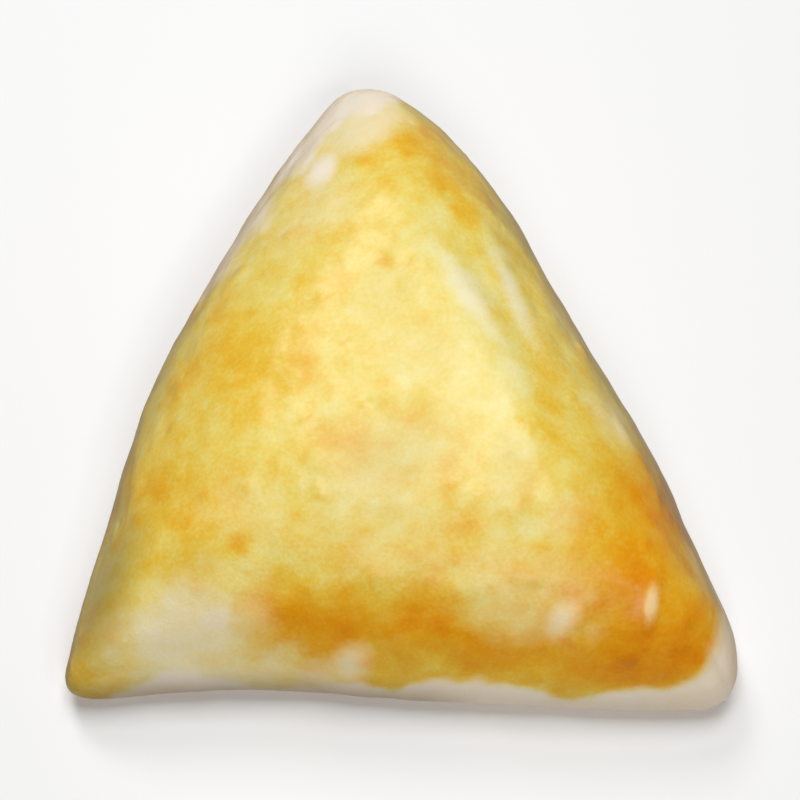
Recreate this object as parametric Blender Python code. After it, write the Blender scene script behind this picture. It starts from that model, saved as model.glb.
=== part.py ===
"""Closed sfiha: soft dough folded round a filling into a triangle and baked, smooth side up, folds down.

Metres, +Z up. The origin is on the table, under the middle of the outline's box. The long front edge faces
-Y, and the back corner points to +Y. The whole pastry is one uncut piece, so it is one solid.
"""

import math

import bmesh
import bpy
from mathutils import Vector, noise

MM = 0.001

# Driving sizes
WIDTH = 100 * MM  # left corner to right corner
DEPTH = 104 * MM  # front edge to back corner
HEIGHT = 30 * MM  # table to crown

# The rounded rim, from the flat underside up to the shoulder where the mound starts. A share in is how far
# a place lies from the outline towards the middle.
MIDDLE = Vector((3 * MM, -14 * MM))
WIDEST = 5 * MM  # height at which the dough bulges furthest over the table
FOOT_SHARE = 0.10  # share in of the underside's edge
SHOULDER_SHARE = 0.20  # share in of the shoulder
SIDE_RIM = 6.5 * MM  # rise of the rim above its widest line, halfway along a side
CORNER_RIM = 4.5 * MM  # the same at a corner, where there is only dough
CORNER_NEAR = 34 * MM  # distance from the middle at which an outline point starts to count as a corner
CORNER_FAR = 60 * MM  # and at which it is one

# The mound of filling under the skin rises with the distance in from the three sides, faster beside a side
# with a larger fullness. A larger fall keeps the crown level for longer.
FULLNESS = {"left": 0.92, "front": 1.0, "right": 1.2}
MOUND_FALL = 1.9
RIDGE_ROUNDING = 2.2  # smaller is rounder where the slopes of two sides meet

# A soft furrow beside the right side, and the brow of the mound inside it
FURROW_LINE = (Vector((4, 25)) * MM, Vector((23, -15)) * MM)
FURROW_DEPTH = 1.0 * MM
FURROW_REACH = 2.6 * MM
BROW_LINE = (Vector((2, 20)) * MM, Vector((26, -34)) * MM)
BROW_RISE = 0.8 * MM
BROW_REACH = 4.5 * MM

# Lumps of the filling that show through the skin
LUMP_SIZE = 17 * MM
LUMP_RISE = 0.6 * MM

# How finely the skin is divided
SEGMENTS = 108  # round the outline
RINGS = 36  # from the underside's middle to the crown
RIM_TURN = 0.30  # share of each half's rings that go to the rounded rim
CURVE_STEPS = 10  # points read from each stretch of the outline's curve
DEPTH_STEPS = 8  # places tried between each outline point and the middle, to find the deepest one
LEAST_DISTANCE = 0.01 * MM  # a place nearer to a side than this counts as this far from it

# The crust's colour, as linear red, green, blue and alpha, and its soft gloss
CRUST_GOLD = (0.78, 0.53, 0.16, 1.0)
CRUST_ROUGHNESS = 0.45

# Outline at the widest line, seen from above and anticlockwise, in millimetres: each side starts at the tip
# of the corner before it. The whole is fitted to WIDTH and DEPTH afterwards.
OUTLINE = {
    # from the back corner, fullest halfway along
    "left": (
        (-6.0, 51.9),
        (-11.4, 48.3),
        (-20.9, 33.8),
        (-27.3, 21.4),
        (-34.4, 7.2),
        (-40.3, -8.8),
        (-44.1, -25.2),
        (-47.9, -41.5),
    ),
    # from the narrow left corner, a little hollow at first
    "front": (
        (-49.3, -48.6),
        (-44.4, -50.4),
        (-25.0, -48.8),
        (0.0, -50.2),
        (25.0, -51.6),
        (45.0, -51.9),
    ),
    # from the right corner, which is cut off square, full again beside the back corner
    "right": (
        (49.2, -49.0),
        (49.6, -41.0),
        (44.8, -28.8),
        (38.9, -13.2),
        (30.9, 1.9),
        (24.1, 15.9),
        (17.2, 29.7),
        (8.7, 41.7),
        (-1.0, 50.0),
    ),
}


def mix(start, end, share):
    return start + (end - start) * share


def ease(share):
    """0 to 1 with a soft start and a soft end."""
    share = min(max(share, 0.0), 1.0)
    return share * share * (3 - 2 * share)


def smooth_sides():
    """The outline's three sides as lists of points along one smooth closed curve through all its anchors."""
    anchors = [(name, Vector(point) * MM) for name, points in OUTLINE.items() for point in points]
    sides = {name: [] for name in OUTLINE}
    for i, (name, start) in enumerate(anchors):
        before, end, after = (anchors[(i + k) % len(anchors)][1] for k in (-1, 1, 2))
        for step in range(CURVE_STEPS):
            t = step / CURVE_STEPS
            sides[name].append(
                start * (2 * t**3 - 3 * t**2 + 1)
                + end * (3 * t**2 - 2 * t**3)
                + (end - before) / 2 * (t**3 - 2 * t**2 + t)
                + (after - start) / 2 * (t**3 - t**2)
            )
    return sides


def fitted(sides):
    """The sides stretched and centred so that their box is WIDTH by DEPTH round the origin."""
    points = [point for side in sides.values() for point in side]
    low = Vector((min(p.x for p in points), min(p.y for p in points)))
    high = Vector((max(p.x for p in points), max(p.y for p in points)))
    stretch = Vector((WIDTH / (high.x - low.x), DEPTH / (high.y - low.y)))
    return {name: [(p - (low + high) / 2) * stretch for p in side] for name, side in sides.items()}


def evenly_spaced(points, count):
    """The closed line of points, read again at equal steps along its length."""
    loop = points + points[:1]
    lengths = [(b - a).length for a, b in zip(loop, loop[1:])]
    step = sum(lengths) / count
    spaced = []
    walked = 0.0
    index = 0
    for k in range(count):
        while walked + lengths[index] < k * step:
            walked += lengths[index]
            index += 1
        spaced.append(loop[index].lerp(loop[index + 1], (k * step - walked) / lengths[index]))
    return spaced


def distance_to(place, points):
    """Shortest distance from a place to the line through the points."""
    shortest = math.inf
    for start, end in zip(points, points[1:]):
        along = end - start
        share = min(max((place - start).dot(along) / along.length_squared, 0.0), 1.0)
        shortest = min(shortest, (place - start - along * share).length)
    return shortest


def depth_inside(place, sides):
    """Distance in from all three sides together. The nearest counts most, which keeps the ridges round."""
    summed = 0.0
    for name, points in sides.items():
        distance = max(distance_to(place, points) * FULLNESS[name], LEAST_DISTANCE)
        summed += distance**-RIDGE_ROUNDING
    return summed ** (-1 / RIDGE_ROUNDING)


def deepest_inside(outline, sides):
    """The largest depth anywhere on the lines from the outline to the middle."""
    shares = [step / DEPTH_STEPS for step in range(1, DEPTH_STEPS + 1)]
    return max(depth_inside(edge.lerp(MIDDLE, share), sides) for edge in outline for share in shares)


def near_line(place, line, reach):
    """1 on the line between two points, fading over the reach beside it and towards both its ends."""
    start, end = line
    along = end - start
    share = (place - start).dot(along) / along.length_squared
    if not 0 < share < 1:
        return 0.0
    aside = (place - start - along * share).length
    return math.exp(-((aside / reach) ** 2)) * math.sin(math.pi * share)


def skin_features(place):
    """What the brow, the furrow and the filling's lumps add to the skin's height at a place."""
    brow = BROW_RISE * near_line(place, BROW_LINE, BROW_REACH)
    furrow = FURROW_DEPTH * near_line(place, FURROW_LINE, FURROW_REACH)
    lumps = LUMP_RISE * noise.noise((place / LUMP_SIZE).to_3d())
    return brow - furrow + lumps


def mould(edge, rise, sides, deepest):
    """The skin point inward of an edge point, at a rise from -1 under the middle to 1 on the crown."""
    turn = min(abs(rise) / RIM_TURN, 1.0) * math.pi / 2
    inner = max(abs(rise) - RIM_TURN, 0.0) / (1 - RIM_TURN)
    rim_share = FOOT_SHARE if rise < 0 else SHOULDER_SHARE
    share_in = mix(rim_share * (1 - math.cos(turn)), 1.0, inner)
    place = edge.lerp(MIDDLE, share_in)
    if rise < 0:
        return Vector((*place, WIDEST * (1 - math.sin(turn))))
    corner = ease(((edge - MIDDLE).length - CORNER_NEAR) / (CORNER_FAR - CORNER_NEAR))
    rim_top = WIDEST + mix(SIDE_RIM, CORNER_RIM, corner) * math.sin(turn)
    mound = 1 - (1 - min(depth_inside(place, sides) / deepest, 1.0)) ** MOUND_FALL
    features = skin_features(place) * ease(share_in / SHOULDER_SHARE)
    return Vector((*place, mix(rim_top, HEIGHT, mound) + features))


def moulded_skin(sides):
    """A globe pressed into the pastry's shape, its equator on the outline and its poles above and below."""
    outline = evenly_spaced([point for side in sides.values() for point in side], SEGMENTS)
    deepest = deepest_inside(outline, sides)
    skin = bmesh.new()
    bmesh.ops.create_uvsphere(skin, u_segments=SEGMENTS, v_segments=RINGS, radius=1.0)
    for vertex in skin.verts:
        longitude = math.atan2(vertex.co.y, vertex.co.x) / (2 * math.pi)
        latitude = math.asin(max(-1.0, min(1.0, vertex.co.z))) / (math.pi / 2)
        vertex.co = mould(outline[round(longitude * SEGMENTS) % SEGMENTS], latitude, sides, deepest)
    return skin


def baked_dough():
    """Soft wheat dough with egg wash, baked golden."""
    material = bpy.data.materials.new("baked dough")
    material.use_nodes = True
    shader = material.node_tree.nodes["Principled BSDF"]
    shader.inputs["Base Color"].default_value = CRUST_GOLD
    shader.inputs["Roughness"].default_value = CRUST_ROUGHNESS
    shader.inputs["Metallic"].default_value = 0.0
    return material


def make_sfiha():
    skin = moulded_skin(fitted(smooth_sides()))
    data = bpy.data.meshes.new("sfiha")
    skin.to_mesh(data)
    skin.free()
    data.shade_smooth()
    data.materials.append(baked_dough())
    bpy.context.scene.collection.objects.link(bpy.data.objects.new("sfiha", data))


for leftover in list(bpy.data.objects):
    bpy.data.objects.remove(leftover)
make_sfiha()
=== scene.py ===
"""A closed sfiha as it comes from the oven: one triangle of soft dough, brushed with egg, baked in patches.

Metres, +Z up. The long front edge faces -Y, the back corner points to +Y, and the folds are underneath.
"""

import math
import random

import bmesh
import bpy
from mathutils import Matrix, Vector, kdtree, noise


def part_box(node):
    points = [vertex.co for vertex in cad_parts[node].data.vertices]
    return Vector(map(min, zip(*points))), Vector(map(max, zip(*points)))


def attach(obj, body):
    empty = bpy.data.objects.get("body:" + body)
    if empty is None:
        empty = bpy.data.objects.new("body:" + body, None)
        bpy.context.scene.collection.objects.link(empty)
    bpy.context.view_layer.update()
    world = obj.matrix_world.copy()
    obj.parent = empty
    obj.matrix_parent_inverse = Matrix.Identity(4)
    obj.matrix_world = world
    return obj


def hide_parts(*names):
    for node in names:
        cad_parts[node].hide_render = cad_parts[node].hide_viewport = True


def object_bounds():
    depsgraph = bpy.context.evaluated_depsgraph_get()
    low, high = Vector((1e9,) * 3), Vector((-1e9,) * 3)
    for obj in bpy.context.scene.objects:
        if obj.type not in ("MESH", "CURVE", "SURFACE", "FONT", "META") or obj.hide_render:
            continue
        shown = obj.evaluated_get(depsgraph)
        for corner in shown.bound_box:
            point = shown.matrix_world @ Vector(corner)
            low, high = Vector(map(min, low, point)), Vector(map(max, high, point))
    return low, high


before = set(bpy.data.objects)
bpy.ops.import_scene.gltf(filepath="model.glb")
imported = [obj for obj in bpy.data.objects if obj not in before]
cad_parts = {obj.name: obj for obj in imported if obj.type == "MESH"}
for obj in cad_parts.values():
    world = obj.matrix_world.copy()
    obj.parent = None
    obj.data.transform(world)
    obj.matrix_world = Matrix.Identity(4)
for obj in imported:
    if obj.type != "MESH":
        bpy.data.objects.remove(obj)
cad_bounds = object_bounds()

# --- The pastry -------------------------------------------------------------------------------------------
# One rolled round of soft wheat dough, folded over its filling from three sides and turned over, so that the
# skin on top is unbroken. It was brushed with beaten egg from above and baked on a tray until it browned in
# patches.

MM = 0.001
SAME_PLACE = 0.001 * MM
FLAT_ENOUGH = 0.7  # radians between two triangles that become one face with four sides
FIRST_ROUNDING = 2  # levels of subdivision
SKIN_PITCH = 0.5 * MM  # between the skin's points, so that relief of about 1 mm still shows
EVENING_PASSES = 8  # take away the steps that an even mesh leaves on a slope
# The mound's ridges, which soft dough can't hold sharp, are smoothed more the higher they lie.
ROUNDED_FROM = 5 * MM
ROUNDED_FULLY = 17 * MM
ROUNDING_STEPS = 16
ROUNDING_PASSES = 4  # above each step
TOUCHES = 0.25 * MM  # skin lower than this that faces down lies flat on the tray
FACES_DOWN = -0.9  # the upward part of the skin's facing, 1 straight up and -1 straight down


def smoothed(skin, points, passes):
    for _ in range(passes):
        bmesh.ops.smooth_vert(
            skin, verts=points, factor=0.5, use_axis_x=True, use_axis_y=True, use_axis_z=True
        )


def stretch_to_box(skin, box):
    """Gives back what the rounding took off the skin's length, width and height."""
    for axis in range(3):
        places = [point.co[axis] for point in skin.verts]
        start, end = min(places), max(places)
        stretch = (box[1][axis] - box[0][axis]) / (end - start)
        for point in skin.verts:
            point.co[axis] = box[0][axis] + (point.co[axis] - start) * stretch


def even_skin(node):
    """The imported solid's shape as one closed, rounded and evenly divided skin."""
    shape = bmesh.new()
    shape.from_mesh(node.data)
    bmesh.ops.remove_doubles(shape, verts=shape.verts, dist=SAME_PLACE)
    bmesh.ops.join_triangles(
        shape, faces=shape.faces, angle_face_threshold=FLAT_ENOUGH, angle_shape_threshold=FLAT_ENOUGH
    )
    rough = bpy.data.meshes.new("rough")
    shape.to_mesh(rough)
    shape.free()
    holder = bpy.data.objects.new("rough", rough)
    bpy.context.scene.collection.objects.link(holder)
    rounding = holder.modifiers.new("rounding", "SUBSURF")
    rounding.levels = rounding.render_levels = FIRST_ROUNDING
    evening = holder.modifiers.new("evening", "REMESH")
    evening.mode = "VOXEL"
    evening.voxel_size = SKIN_PITCH
    graph = bpy.context.evaluated_depsgraph_get()
    even = bpy.data.meshes.new_from_object(holder.evaluated_get(graph))
    bpy.data.objects.remove(holder)
    skin = bmesh.new()
    skin.from_mesh(even)
    smoothed(skin, skin.verts, EVENING_PASSES)
    for step in range(ROUNDING_STEPS):
        height = ROUNDED_FROM + (ROUNDED_FULLY - ROUNDED_FROM) * step / ROUNDING_STEPS
        smoothed(skin, [point for point in skin.verts if point.co.z > height], ROUNDING_PASSES)
    stretch_to_box(skin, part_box("sfiha"))
    for point in skin.verts:
        if point.co.z < TOUCHES and point.normal.z < FACES_DOWN:
            point.co.z = 0.0
    skin.normal_update()
    return skin


skin = even_skin(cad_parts["sfiha"])


def plan(place):
    """A place seen from above, in millimetres."""
    return place.xy / MM


def soft_step(value, start, end):
    """0 before the start and 1 past the end, with a soft climb between them."""
    share = min(max((value - start) / (end - start), 0.0), 1.0)
    return share * share * (3 - 2 * share)


SEED_STEP = Vector((17.3, -9.1, 4.7))  # how far apart the unevennesses with different seeds are read


def rolls(place, size, seed):
    """Smooth unevenness between -1 and 1, with bumps about the given size in millimetres."""
    return noise.noise(place / (size * MM) + SEED_STEP * seed)


def unevenness(place, waves):
    """The sum of several waves of unevenness, each with its size in millimetres, its height and its seed."""
    return sum(height * rolls(place, size, seed) for size, height, seed in waves)


def sideways(place, size, seeds):
    """Unevenness along X and along Y, to make a straight border or a seam wander."""
    return Vector([rolls(place, size, seed) for seed in seeds])


def along_path(place, path):
    """How far a place in plan lies from a path, and the share of the path before its nearest point."""
    nearest, share_before = math.inf, 0.0
    for index, (start, end) in enumerate(zip(path, path[1:])):
        along = end - start
        share = min(max((place - start).dot(along) / along.length_squared, 0.0), 1.0)
        distance = (place - start - along * share).length
        if distance < nearest:
            nearest, share_before = distance, (index + share) / (len(path) - 1)
    return nearest, share_before


# Ridges and furrows of the skin on top: a path in plan, its reach to each side and its height, which is
# negative for a furrow, all in millimetres. Each fades out at both ends.
RIDGES = (
    # the crest of the mound on the right, its lower end, and the roll that runs outside it
    (((4, 15), (9.7, 4.4), (13.7, -1.2), (16.5, -10)), 2.4, 0.4),
    (((13, 0), (18.5, -15.7), (24.7, -31.7)), 3.5, 0.25),
    (((9, 24), (12.8, 15.9), (17, 5.6), (20.3, -3)), 2.3, 0.36),
    # low welts on the front slope at the right
    (((35, -45), (35.5, -41), (36, -36)), 1.3, 0.4),
    (((19, -42), (23.5, -43), (28, -42)), 1.8, 0.3),
    # tucks that run in from the back corner
    (((-5, 50), (-9, 42), (-11, 33)), 1.6, -0.16),
    (((-4, 50), (-3, 43), (-3.5, 37)), 1.4, -0.12),
    # and from the left corner
    (((-48, -47), (-42, -44), (-34, -41.5)), 1.5, -0.25),
    # the right corner's folded end
    (((48.5, -50), (46, -46.5), (41, -42.5)), 1.2, -0.30),
)
RIDGE_END = 3  # times the reach: where a ridge no longer counts
END_FADE = 0.7  # less than 1 keeps a ridge at nearly its full height for longer


def ridge_height(place):
    """What all ridges and furrows add to the skin at a place in plan, in millimetres."""
    total = 0.0
    for path, reach, height in RIDGES:
        distance, share = along_path(place, [Vector(point) for point in path])
        if distance < RIDGE_END * reach:
            total += height * math.exp(-((distance / reach) ** 2)) * math.sin(math.pi * share) ** END_FADE
    return total


# Seams under the pastry, where its three folded flaps meet, from the middle to each corner, in millimetres.
# The flap on one side of a seam laps over the other, so the skin steps down across it.
SEAMS = (
    ((2, -17), (-1, 8), (-5, 44)),
    ((2, -17), (-20, -30), (-43, -44)),
    ((2, -17), (24, -31), (43, -45)),
)
SEAM_REACH = 1.5
SEAM_DEPTH = 1.1
SEAM_WAVE = 7  # the size of a seam's wander, and how far it goes
SEAM_WANDER = 1.4
SEAM_SEEDS = (1, 2)
SEAM_FADE = 0.15  # the share of a seam at its outer end over which it fades out
LAP_STEP = 0.7  # how far the lower flap lies above the tray beside a seam
LAP_REACH = 7


def seam_depth(place):
    """How far the skin under the pastry is drawn up at its seams, in millimetres."""
    place = place + sideways(place.to_3d() * MM, SEAM_WAVE, SEAM_SEEDS) * SEAM_WANDER
    deepest = 0.0
    for path in SEAMS:
        points = [Vector(point) for point in path]
        distance, share = along_path(place, points)
        fade = soft_step(1 - share, 0.0, SEAM_FADE)
        pinch = SEAM_DEPTH * math.exp(-((distance / SEAM_REACH) ** 2))
        beside = (points[-1] - points[0]).cross(place - points[0]) > 0
        lap = LAP_STEP * math.exp(-distance / LAP_REACH) if beside else 0.0
        deepest = max(deepest, (pinch + lap) * fade)
    return deepest


# The skin's soft unevenness, and the hollows under the pastry where it didn't touch the tray. Each wave is a
# size in millimetres, a height and a seed. Each pair of limits, here and below, says where something starts
# and where it is full.
SWELLS = ((9, 0.30, 3), (4, 0.14, 4))
SWELLS_FACE_UP = (-0.7, 0.0)
RIDGES_FACE_UP = (0.1, 0.5)
HOLLOW_DEPTH = 0.3
HOLLOW_WAVES = ((8, 1.0, 5),)
HOLLOW_LIMITS = (0.1, 0.5)

for point in skin.verts:
    up = point.normal.z
    lift = unevenness(point.co, SWELLS) * soft_step(up, *SWELLS_FACE_UP)
    if up > 0:
        lift += ridge_height(plan(point.co)) * soft_step(up, *RIDGES_FACE_UP)
    if up < FACES_DOWN:
        hollow = HOLLOW_DEPTH * soft_step(unevenness(point.co, HOLLOW_WAVES), *HOLLOW_LIMITS)
        lift -= seam_depth(plan(point.co)) + hollow
    point.co += point.normal * lift * MM
skin.normal_update()

# Small blisters of steam under the skin, which brown first, pinholes where some burst, and fine wrinkles.
# Radii and heights are in millimetres.
BLISTERS = 90
BLISTER_RADIUS = (0.7, 1.7)
BLISTER_HEIGHT = (0.08, 0.20)
PINHOLES = 26
PINHOLE_RADIUS = (0.4, 0.7)
PINHOLE_HEIGHT = (-0.16, -0.08)
MARK_END = 2.2  # times the radius: where a blister or a pinhole ends
MARKED_FROM = 9 * MM  # the height above which the skin has them, where it also faces up enough
MARKED_FACING = 0.35
WRINKLES = ((1.3, 0.035, 0),)

scatter = random.Random(11)
tops = [point for point in skin.verts if point.normal.z > MARKED_FACING and point.co.z > MARKED_FROM]
marks = []
for count, radius, height in (
    (BLISTERS, BLISTER_RADIUS, BLISTER_HEIGHT),
    (PINHOLES, PINHOLE_RADIUS, PINHOLE_HEIGHT),
):
    for _ in range(count):
        marks.append((scatter.choice(tops).co.copy(), scatter.uniform(*radius), scatter.uniform(*height)))

near = kdtree.KDTree(len(skin.verts))
for point in skin.verts:
    near.insert(point.co, point.index)
near.balance()
skin.verts.ensure_lookup_table()
blistered = skin.verts.layers.float.new("blistered")
for centre, radius, height in marks:
    for _, index, distance in near.find_range(centre, MARK_END * radius * MM):
        point = skin.verts[index]
        swell = math.exp(-((distance / (radius * MM)) ** 2))
        point.co += point.normal * height * swell * MM
        point[blistered] += math.copysign(swell, height)
for point in skin.verts:
    point.co += point.normal * unevenness(point.co, WRINKLES) * MM
    point.co.z = max(point.co.z, 0.0)
skin.normal_update()

# How brown the crust is, from 0 to 1, and where the top browned more or less than the rest: the middle of
# each patch in plan, its half length and half width in millimetres, how far its length is turned from +X in
# degrees, and how much browner it is.
BASE_BROWNING = 0.34
BROWNING_WAVES = ((6, 0.10, 10), (2.8, 0.08, 11))
PATCH_LIMITS = (-0.7, 0.85)
PATCHES = (
    # pale crown, which the filling kept moist
    (2, 3, 19, 9, 85, -0.07),
    (12.5, -5, 18, 5.5, -75, -0.09),
    # the next three rows are painted highlights: pale streaks along the crest and the roll beside it
    (9.6, 4.8, 8, 1.5, -57, -0.15),
    (14.9, -5, 5, 1.5, -73, -0.12),
    (16.2, 7.3, 9.5, 1.4, -69, -0.13),
    (15, -13, 7.5, 3, -80, -0.08),
    (13.5, 2, 4, 3, 0, -0.05),
    (2.5, 15, 6, 3, 60, -0.04),
    (-8.8, -18.2, 3.2, 2.6, 0, 0.19),
    (-6.2, -15, 2.6, 2.4, 0, -0.12),
    (4, -24, 10, 4, -10, 0.05),
    (-2, -28, 24, 7, 0, -0.05),
    (-17, -16.5, 4, 2.5, 0, -0.08),
    (-11, -25, 3, 2, 0, -0.08),
    (-35, -45, 12, 5, 8, -0.10),
    (-44, -44.5, 6, 5, 45, 0.19),
    (-44, -37, 12, 3.2, 74, -0.12),
    # golden left side
    (-23, -5, 9, 7, 10, 0.13),
    (-33.5, -27, 10, 7, -50, 0.15),
    (-28, 7, 4, 3, 0, 0.06),
    (-29.5, -6, 5, 5, 0, 0.06),
    (-37, -24.5, 3.5, 2.5, 90, 0.09),
    (-13, 17, 7, 3, 0, 0.06),
    # brown band along the front
    (-6, -43.5, 17, 5, -4, 0.23),
    (-10, -43, 6, 3.5, 0, 0.16),
    (-18.5, -42.5, 6, 3, -32, 0.12),
    (-21, -41.4, 3.6, 2.6, 0, 0.22),
    (-5, -46, 11, 2.2, 2, 0.14),
    (3.5, -43, 4.5, 5, 0, 0.22),
    (-1, -35, 10, 3, 0, 0.08),
    (19, -47, 13, 2.6, -3, 0.30),
    (12, -48, 5, 2, 0, 0.10),
    (21, -39, 10, 5, 0, 0.05),
    (24, -41.5, 10, 4.5, 0, 0.14),
    (23.3, -42.5, 3.6, 2.6, 30, 0.20),
    (35.3, -41.1, 3, 2, 80, 0.08),
    (29.5, -38.5, 9, 5, -65, 0.15),
    (21, -33, 5, 2.5, 0, -0.08),
    (-21, -36.5, 7, 2.2, 0, -0.07),
    # brown right corner, and up the right side
    (36, -32, 18, 7.5, -78, 0.22),
    (35, -34, 13, 5, -84, 0.11),
    (32, -42, 6, 3, 80, 0.08),
    (37, -47, 8.5, 3.2, 3, 0.30),
    (43, -43.5, 6, 4, 60, 0.22),
    (27, -49.5, 5, 2, 0, 0.16),
    (44.5, -38, 8, 3, -80, 0.15),
    (38, -24, 10, 3, -74, 0.15),
    (21, -12, 6.5, 2.2, -80, 0.10),
    (20.5, 8, 3, 1.5, -70, 0.06),
    (27, -6, 3, 1.5, -70, 0.05),
    # orange beside the back corner
    (5, 31, 11, 7, -60, 0.11),
    (6, 20.5, 5, 3, -60, 0.12),
    (3, 34, 4, 2.5, 90, 0.14),
    (8, 27, 4, 2.2, -60, 0.08),
    (12.5, 25, 3, 2, 80, 0.08),
    (-2, 26, 4, 3, 90, 0.04),
    # spots
    (9.5, -31, 3.5, 3, 0, 0.14),
    (4.5, -1, 3, 3, 0, 0.06),
    (17.5, -26.5, 3, 1.6, 85, 0.12),
    (6.3, -22, 1.6, 1.3, 0, 0.12),
    (4.8, -37.6, 1.6, 1.3, 0, 0.12),
    (-23.5, -33.5, 1.8, 1.3, 0, 0.22),
    (-2.2, 8.8, 1.3, 1.1, 0, 0.22),
    (10.4, -32.2, 1.8, 1.5, 0, 0.10),
    (7.5, 20.5, 4, 2.5, -60, 0.05),
)

# Places that the brush missed or barely touched: the same five numbers, then the share of the egg that is
# missing, and how softly it fades at the border as a share of the patch.
BARE = (
    # back corner, and along the left side below it
    (-8.5, 48, 10.5, 9, 15, 1.0, 0.5),
    (-14, 38, 12, 4.2, 62, 1.0, 0.7),
    (-27, 22.4, 16, 4.2, 62, 0.9, 0.9),
    # partly bare dough and partly a painted highlight
    (-12.2, 28, 3.6, 2.2, 70, 1.0, 1.4),
    (-13, 22, 8, 5, 70, 0.22, 1.6),
    (-5.5, 37, 6.5, 5, 35, 0.55, 1.4),
    # thin behind the left corner
    (-31.2, -44, 9.5, 5.5, 6, 0.54, 1.6),
    (-28, -49, 12, 3.2, 4, 0.5, 1.2),
    (-22, -29, 8, 5, -20, 0.14, 1.6),
    (3, -31, 14, 5, 0, 0.12, 1.6),
    # the next two rows are partly thin egg and partly painted highlights
    (-26.5, -42.5, 2.6, 1.8, 20, 0.7, 1.6),
    (-36, -44, 2.4, 1.8, 0, 0.6, 1.6),
    # small misses on the front and right slopes
    (-7.4, -47.4, 2.6, 1.5, 10, 0.65, 1.8),
    (-13, -49, 5, 1.8, 8, 0.55, 1.4),
    # the next two rows are painted highlights along the crest and the roll, pale where the glaze would shine
    (9.6, 4.8, 7, 1.3, -57, 0.36, 2.0),
    (16.9, 5.4, 7, 1.2, -69, 0.42, 2.0),
    (31.2, -12, 3.9, 3.2, -62, 0.36, 1.6),
    (44.2, -32.5, 4.5, 1.8, -72, 0.34, 1.6),
    (25.5, 6, 6, 2.4, -63, 0.24, 1.6),
    # the next five rows are partly thin egg and partly painted highlights: a painted sheen and small glints
    (18, -41, 8, 4, 0, 0.24, 1.6),
    (22.9, -42.8, 2.5, 1.7, 30, 0.72, 2.0),
    (26.5, -40.6, 1.5, 1.0, 0, 0.22, 1.8),
    (20.6, -39.8, 1.4, 1.1, 60, 0.26, 1.8),
    (27.5, -44.3, 1.5, 1.1, 10, 0.16, 1.8),
    (24, -30, 4, 3, 70, 0.24, 1.8),
    # partly missing egg and partly a painted highlight: the glint on the welt
    (35.6, -40.9, 2.3, 0.9, 80, 0.60, 1.4),
)

# The height in millimetres down to which the wall was brushed, on the sides and on the front, how softly the
# egg ends there, and where it ran further down: the place, its half width and how much further.
SIDE_LINE = 4.8
FRONT_LINE = 11.2
LINE_WAVES = ((8, 1.6, 12), (2.5, 0.8, 13))
SIDE_SOFTNESS = 2.8
FRONT_SOFTNESS = 1.3
FACES_FRONT = (0.3, 0.8)
RUNS = (
    (-1, -49, 4, 4.0),
    (24.5, -50, 5, 4.0),
    (-46, -47, 8, 10.0),
    (-17, -50, 9, 6.0),
)

# The egg stopped short all round the right corner: the line's height there, how far from the corner it is
# level, and how much it falls with each further millimetre.
CORNER = Vector((50, -45.5))
CORNER_LINE = 14.5
CORNER_REACH = 4.3
CORNER_FALL = 0.48
CORNER_WAVES = ((4, 0.4, 16),)

# Painted shade, where the crust is darker than its browning alone makes it: the same five numbers and how
# much
# It stands in for the shade in shallow hollows on the crown and on the curving left side and its corner.
SHADE_PATCH_LIMITS = (-0.6, 0.9)
PAINTED_SHADE_PATCHES = (
    (-44, -36.5, 12, 6, 72, 0.78),
    (-9, -18, 5, 4, 0, 0.12),
    (-2, -22, 11, 7, 20, 0.30),
    (16, -24, 6, 4, 90, 0.16),
    (-38.5, -5, 14, 4, 72, 0.58),
    (-26.5, 18, 10, 3, 62, 0.30),
    (4, -5, 6, 5, 0, 0.10),
    (-32, -36, 8, 4, 20, 0.16),
    (-2, 5, 6, 4, 90, 0.10),
)

# Painted shade on the flanks and at the foot of the wall, where they turn away from the light and down to
# the tray, the foot more on the left than on the right. The right corner is left with less of this painted
# shade.
FACES_UP_ON_FLANK = (0.30, 0.73)
BARE_FLANK_SHADE = 0.7
FOOT_HEIGHTS = (4, 12)
FOOT_SHADE_LEFT = 0.90
FOOT_SHADE_RIGHT = 0.35
FOOT_TURNS_AT = (2, 14)
CORNER_SHADE_CUT_SIZE = 7
CORNER_SHADE_CUT = 0.6

# How far the patches' borders wander: the size of the wander and its reach, in millimetres
WANDERS = ((11, 3.2), (4.5, 1.6), (1.8, 0.6))
WANDER_SEEDS = (6, 7)
SMALL_PATCH = 4  # the borders of patches narrower than this wander less
BRISTLE_GAP = 1.6 * MM  # between the streaks that the brush leaves, and their length
BRISTLE_RUN = 7 * MM
BRISTLE_SEED = 8.1
BRISTLES_BARE = 0.12  # how much the streaks show in a patch's border, and in the browning
BRISTLES_BROWN = 0.015

# What the missing egg and the tray do to the browning
BARE_BROWNING = 0.4
BARE_FLANK_BROWNING = 0.2
FACES_TRAY = (0.3, 0.8)
TRAY_WIPED = 0.8
TRAY_BROWNING = 0.72
TRAY_WAVES = ((9, 0.35, 14), (3, 0.20, 15))
# how much of the painted shade stays on skin that lies on the tray
TRAY_SHADE = 0.15
SEAM_PALENESS = 0.4
BLISTER_BROWNING = 0.10

# The egg's gloss is worn away on steep skin.
STEEP_GLOSS = 0.1
FACES_UP_FOR_GLOSS = (0.6, 0.96)


def as_circle(patch):
    """A patch's middle in plan, and the matrix that makes the patch a circle of radius 1."""
    x, y, half_length, half_width, turn = patch[:5]
    shrink = Matrix(((1 / half_length, 0), (0, 1 / half_width)))
    return Vector((x, y)), shrink @ Matrix.Rotation(math.radians(-turn), 2)


def inside(place, circle):
    """1 in the middle of a patch, 0 on its border and less outside."""
    middle, shrink = circle
    return 1 - (shrink @ (place - middle)).length


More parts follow.
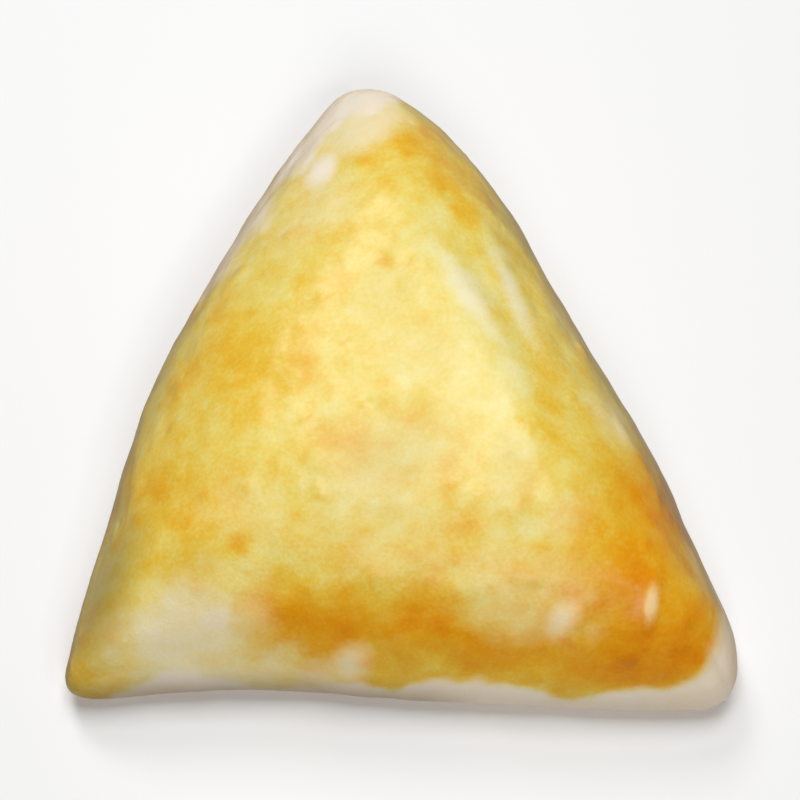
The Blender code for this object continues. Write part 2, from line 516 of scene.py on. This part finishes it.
patches = [(as_circle(patch), min(patch[3] / SMALL_PATCH, 1.0), patch[5]) for patch in PATCHES]
bare = [(as_circle(patch), min(patch[3] / SMALL_PATCH, 1.0), patch[5], patch[6]) for patch in BARE]
shade_patches = [(as_circle(patch), patch[5]) for patch in PAINTED_SHADE_PATCHES]


def missing_egg(above, wander, bristles):
    """The share of the egg that the brush left out at a place in plan."""
    most = 0.0
    for circle, calm, share, softness in bare:
        depth = inside(above + wander * calm**2, circle) + BRISTLES_BARE * bristles * calm
        most = max(most, share * soft_step(depth, -softness / 2, softness / 2))
    return most


def egg_line(co, front):
    """The height in millimetres at which the brushed part ends, near a point of the skin."""
    line = SIDE_LINE + (FRONT_LINE - SIDE_LINE) * front + unevenness(co, LINE_WAVES)
    for x, y, half_width, drop in RUNS:
        line -= drop * math.exp(-(((plan(co) - Vector((x, y))).length / half_width) ** 2))
    past_corner = max((plan(co) - CORNER).length - CORNER_REACH, 0.0)
    return max(line, CORNER_LINE - CORNER_FALL * past_corner + unevenness(co, CORNER_WAVES))


def painted_shade_at(co, flank, egg):
    """How much painted shade darkens the crust at a point of the skin, before the tray is counted."""
    on_right = soft_step(co.x / MM, *FOOT_TURNS_AT)
    foot = FOOT_SHADE_LEFT + (FOOT_SHADE_RIGHT - FOOT_SHADE_LEFT) * on_right
    foot *= 1 - soft_step(co.z / MM, *FOOT_HEIGHTS)
    patch_shade = max(amount * soft_step(inside(plan(co), circle), *SHADE_PATCH_LIMITS) for circle, amount in shade_patches)
    corner_cut = CORNER_SHADE_CUT * math.exp(-(((plan(co) - CORNER).length / CORNER_SHADE_CUT_SIZE) ** 2))
    return max(flank * (BARE_FLANK_SHADE + (1 - BARE_FLANK_SHADE) * egg), foot, patch_shade) * (1 - corner_cut)


browning = skin.verts.layers.float.new("browning")
wash = skin.verts.layers.float.new("wash")
gloss = skin.verts.layers.float.new("gloss")
# painted shade: how much the skin is darkened where shade falls, from 0 to 1
painted_shade = skin.verts.layers.float.new("painted_shade")
for point in skin.verts:
    co = point.co
    facing = point.normal
    front = soft_step(-facing.y, *FACES_FRONT)
    flank = (1 - soft_step(facing.z, *FACES_UP_ON_FLANK)) * (1 - front)
    on_tray = soft_step(-facing.z, *FACES_TRAY)
    above = plan(co)
    wander = Vector((0.0, 0.0))
    for size, reach in WANDERS:
        wander += sideways(co, size, WANDER_SEEDS) * reach
    bristles = noise.noise(Vector((co.x / BRISTLE_GAP, co.y / BRISTLE_RUN, BRISTLE_SEED)))

    softness = SIDE_SOFTNESS + (FRONT_SOFTNESS - SIDE_SOFTNESS) * front
    egg = soft_step(co.z / MM - egg_line(co, front), -softness, softness)
    egg *= (1 - missing_egg(above, wander, bristles)) * (1 - TRAY_WIPED * on_tray)

    brown = BASE_BROWNING + unevenness(co, BROWNING_WAVES) + BRISTLES_BROWN * bristles
    for circle, calm, amount in patches:
        brown += amount * soft_step(inside(above + wander * calm, circle), *PATCH_LIMITS)
    brown *= BARE_BROWNING + (1 - BARE_BROWNING) * egg
    brown += BARE_FLANK_BROWNING * flank * (1 - egg)
    if on_tray > 0:
        tray_brown = TRAY_BROWNING + unevenness(co, TRAY_WAVES) - SEAM_PALENESS * seam_depth(above)
        brown += (tray_brown - brown) * on_tray
    brown += BLISTER_BROWNING * point[blistered]

    point[browning] = min(max(brown, 0.0), 1.0)
    point[wash] = egg
    point[gloss] = egg * (STEEP_GLOSS + (1 - STEEP_GLOSS) * soft_step(facing.z, *FACES_UP_FOR_GLOSS))
    point[painted_shade] = painted_shade_at(co, flank, egg) * (1 - (1 - TRAY_SHADE) * on_tray)


def colour(code):
    """Linear red, green, blue and alpha of an sRGB hex colour."""
    shares = [int(code[start : start + 2], 16) / 255 for start in (1, 3, 5)]
    return [s / 12.92 if s <= 0.04045 else ((s + 0.055) / 1.055) ** 2.4 for s in shares] + [1.0]


def add(tree, kind, settings, inputs):
    """One node with its settings, and with a value or a link for each named or numbered input."""
    node = tree.nodes.new(kind)
    for name, value in settings.items():
        setattr(node, name, value)
    for name, value in inputs.items():
        if isinstance(value, bpy.types.NodeSocket):
            tree.links.new(value, node.inputs[name])
        else:
            node.inputs[name].default_value = value
    return node


def fill_ramp(node, stops):
    """Gives a colour ramp its stops, a place and an sRGB hex colour each."""
    elements = node.color_ramp.elements
    elements.remove(elements[1])
    elements[0].position = stops[0][0]
    elements[0].color = colour(stops[0][1])
    for place, code in stops[1:]:
        elements.new(place).color = colour(code)


# Egg-washed wheat crust: the yolk film gives clear yellows that brown to amber, with a satin gloss. Where
# the film is missing the dough is cream, floury and matt. Painted shade multiplies both by a greyer, darker
# tint.
GLAZED = (
    (0.0, "#ece3ac"),
    (0.15, "#e7da8d"),
    (0.30, "#e6cf68"),
    (0.45, "#e5bd3f"),
    (0.60, "#e3aa24"),
    (0.75, "#e29b10"),
    (0.90, "#de8b08"),
    (1.0, "#d37f0b"),
)
FLOURY = (
    (0.0, "#f0e6d5"),
    (0.35, "#f1ddc0"),
    # this stop is lightened partly as a painted highlight, for the pale spots on the front slope
    (0.65, "#ffdcae"),
    (1.0, "#d8a468"),
)
# tints of the painted shade, on the glaze and on the bare dough
SHADED_GLAZE = "#ada070"
SHADED_FLOUR = "#b5aea5"
MOTTLE_SIZE = 2.4 * MM  # the soft clouding of the egg film
MOTTLE_SHARE = 0.12
FLECK_SIZE = 0.6 * MM  # flour specks and tiny steam bubbles of about 0.3 mm, drawn coarser so that they show
FLECK_SHARE = 0.09
FILM_UNEVENNESS = 0.35
FLOURY_ROUGHNESS = 0.72
GLAZED_ROUGHNESS = 0.42
FULL_COAT = 0.45
GRAIN_SIZE = 0.45 * MM  # the crust's grain of about 0.2 mm, drawn coarser so that it shows
GRAIN_DEPTH = 0.12 * MM
GRAIN_STRENGTH = 0.55


def clouds(tree, places, size, share):
    """Soft noise of a size in metres, between minus and plus a share."""
    noises = add(tree, "ShaderNodeTexNoise", {}, {"Vector": places, "Scale": 1 / size, "Detail": 2.0})
    spread = {"Value": noises.outputs["Fac"], "To Min": -share, "To Max": share}
    return add(tree, "ShaderNodeMapRange", {}, spread).outputs["Result"]


def shaded_colour(tree, stops, browned, shade_amount, tint):
    """A colour ramp over the browning, multiplied by a tint where shade is painted on."""
    ramp = add(tree, "ShaderNodeValToRGB", {}, {"Fac": browned})
    fill_ramp(ramp, stops)
    mixing = {"data_type": "RGBA", "blend_type": "MULTIPLY"}
    mix = add(tree, "ShaderNodeMix", mixing, {0: shade_amount, 6: ramp.outputs["Color"], 7: colour(tint)})
    return mix.outputs[2]


crust = bpy.data.materials.new("egg-washed wheat crust")
crust.use_nodes = True
tree = crust.node_tree
tree.nodes.clear()
places = add(tree, "ShaderNodeTexCoord", {}, {}).outputs["Object"]
baked = add(tree, "ShaderNodeAttribute", {"attribute_name": "browning"}, {}).outputs["Fac"]
brushed = add(tree, "ShaderNodeAttribute", {"attribute_name": "wash"}, {}).outputs["Fac"]
glossy = add(tree, "ShaderNodeAttribute", {"attribute_name": "gloss"}, {}).outputs["Fac"]
# the painted shade
shade_amount = add(tree, "ShaderNodeAttribute", {"attribute_name": "painted_shade"}, {}).outputs["Fac"]
mottled = clouds(tree, places, MOTTLE_SIZE, MOTTLE_SHARE)
flecked = clouds(tree, places, FLECK_SIZE, FLECK_SHARE)
uneven = add(tree, "ShaderNodeMath", {"operation": "ADD"}, {0: mottled, 1: flecked}).outputs["Value"]
browned = add(tree, "ShaderNodeMath", {"operation": "ADD", "use_clamp": True}, {0: baked, 1: uneven})
film = add(
    tree,
    "ShaderNodeMath",
    {"operation": "MULTIPLY_ADD", "use_clamp": True},
    {0: uneven, 1: FILM_UNEVENNESS, 2: brushed},
).outputs["Value"]
glazed = shaded_colour(tree, GLAZED, browned.outputs["Value"], shade_amount, SHADED_GLAZE)
floury = shaded_colour(tree, FLOURY, browned.outputs["Value"], shade_amount, SHADED_FLOUR)
surface = add(tree, "ShaderNodeMix", {"data_type": "RGBA"}, {0: film, 6: floury, 7: glazed})
rough = add(
    tree,
    "ShaderNodeMapRange",
    {},
    {"Value": film, "To Min": FLOURY_ROUGHNESS, "To Max": GLAZED_ROUGHNESS},
)
coat = add(tree, "ShaderNodeMath", {"operation": "MULTIPLY"}, {0: glossy, 1: FULL_COAT})
grain = add(tree, "ShaderNodeTexNoise", {}, {"Vector": places, "Scale": 1 / GRAIN_SIZE, "Detail": 3.0})
bump = add(
    tree,
    "ShaderNodeBump",
    {},
    {"Height": grain.outputs["Fac"], "Distance": GRAIN_DEPTH, "Strength": GRAIN_STRENGTH},
)
shader = add(
    tree,
    "ShaderNodeBsdfPrincipled",
    {},
    {
        "Base Color": surface.outputs[2],
        "Roughness": rough.outputs["Result"],
        "Coat Weight": coat.outputs["Value"],
        "Coat Roughness": 0.28,
        "IOR": 1.45,
        "Specular IOR Level": 0.08,
        "Subsurface Weight": 0.15,
        "Subsurface Scale": 1.5 * MM,
        "Subsurface Radius": (1.0, 0.7, 0.4),
        "Normal": bump.outputs["Normal"],
    },
)
add(tree, "ShaderNodeOutputMaterial", {}, {"Surface": shader.outputs["BSDF"]})

pastry_mesh = bpy.data.meshes.new("baked_pastry")
skin.to_mesh(pastry_mesh)
skin.free()
pastry_mesh.shade_smooth()
pastry_mesh.materials.append(crust)
pastry = bpy.data.objects.new("baked_pastry", pastry_mesh)
bpy.context.scene.collection.objects.link(pastry)
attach(pastry, "root")
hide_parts("sfiha")

# --- The floor --------------------------------------------------------------------------------------------
# A large sheet of matt white card, laid flat under the pastry. It runs well past the view on all sides and
# only catches the shadow.
FLOOR_HALF_WIDTH = 1.5
floor_sheet = bmesh.new()
bmesh.ops.create_grid(floor_sheet, x_segments=1, y_segments=1, size=FLOOR_HALF_WIDTH)
floor_mesh = bpy.data.meshes.new("floor")
floor_sheet.to_mesh(floor_mesh)
floor_sheet.free()

# Matt white card: an even white with almost no gloss
card = bpy.data.materials.new("matt white card")
card.use_nodes = True
card_shader = card.node_tree.nodes["Principled BSDF"]
card_shader.inputs["Base Color"].default_value = colour("#f0f0f0")
card_shader.inputs["Roughness"].default_value = 0.9
card_shader.inputs["Specular IOR Level"].default_value = 0.1
floor_mesh.materials.append(card)
floor = bpy.data.objects.new("floor", floor_mesh)
bpy.context.scene.collection.objects.link(floor)

# --- The light --------------------------------------------------------------------------------------------
# Softboxes in a dim white studio: a large one overhead, and smaller ones behind and in front that give the
# glaze its highlights. Each has a name, a place and a side in metres, and its power in watts.
SOFTBOXES = (
    ("overhead softbox", (0.0, 0.12, 0.64), 0.30, 2.6),
    ("front softbox", (0.04, -0.40, 0.43), 0.22, 0.97),
    ("back softbox", (-0.14, 0.34, 0.46), 0.16, 1.0),
    ("small front softbox", (0.254, -0.265, 0.50), 0.05, 0.17),
)
STUDIO_GLOW = 0.04
lowest, highest = cad_bounds
middle = (lowest + highest) / 2
for name, place, side, power in SOFTBOXES:
    lamp = bpy.data.lights.new(name, "AREA")
    lamp.size = side
    lamp.energy = power
    softbox = bpy.data.objects.new(name, lamp)
    softbox.location = place
    softbox.rotation_euler = (middle - Vector(place)).to_track_quat("-Z", "Y").to_euler()
    bpy.context.scene.collection.objects.link(softbox)

studio = bpy.data.worlds.new("studio")
studio.use_nodes = True
studio.node_tree.nodes["Background"].inputs["Color"].default_value = colour("#ffffff")
studio.node_tree.nodes["Background"].inputs["Strength"].default_value = STUDIO_GLOW
bpy.context.scene.world = studio
bpy.context.scene.view_settings.view_transform = "Standard"

# --- The camera -------------------------------------------------------------------------------------------
# A long lens held about a third of a metre away. It looks steeply down on the pastry from in front of its
# long edge, a little nearer that edge than the middle.
ELEVATION = math.radians(68)
DISTANCE = 0.3406
AIM = middle + Vector((-0.1, -4.8, -5.1)) * MM
FOCAL_LENGTH = 100  # millimetres
lens = bpy.data.cameras.new("camera")
lens.lens = FOCAL_LENGTH
camera = bpy.data.objects.new("camera", lens)
looking = Vector((0, math.cos(ELEVATION), -math.sin(ELEVATION)))
camera.location = AIM - looking * DISTANCE
camera.rotation_euler = looking.to_track_quat("-Z", "Y").to_euler()
bpy.context.scene.collection.objects.link(camera)
bpy.context.scene.camera = camera
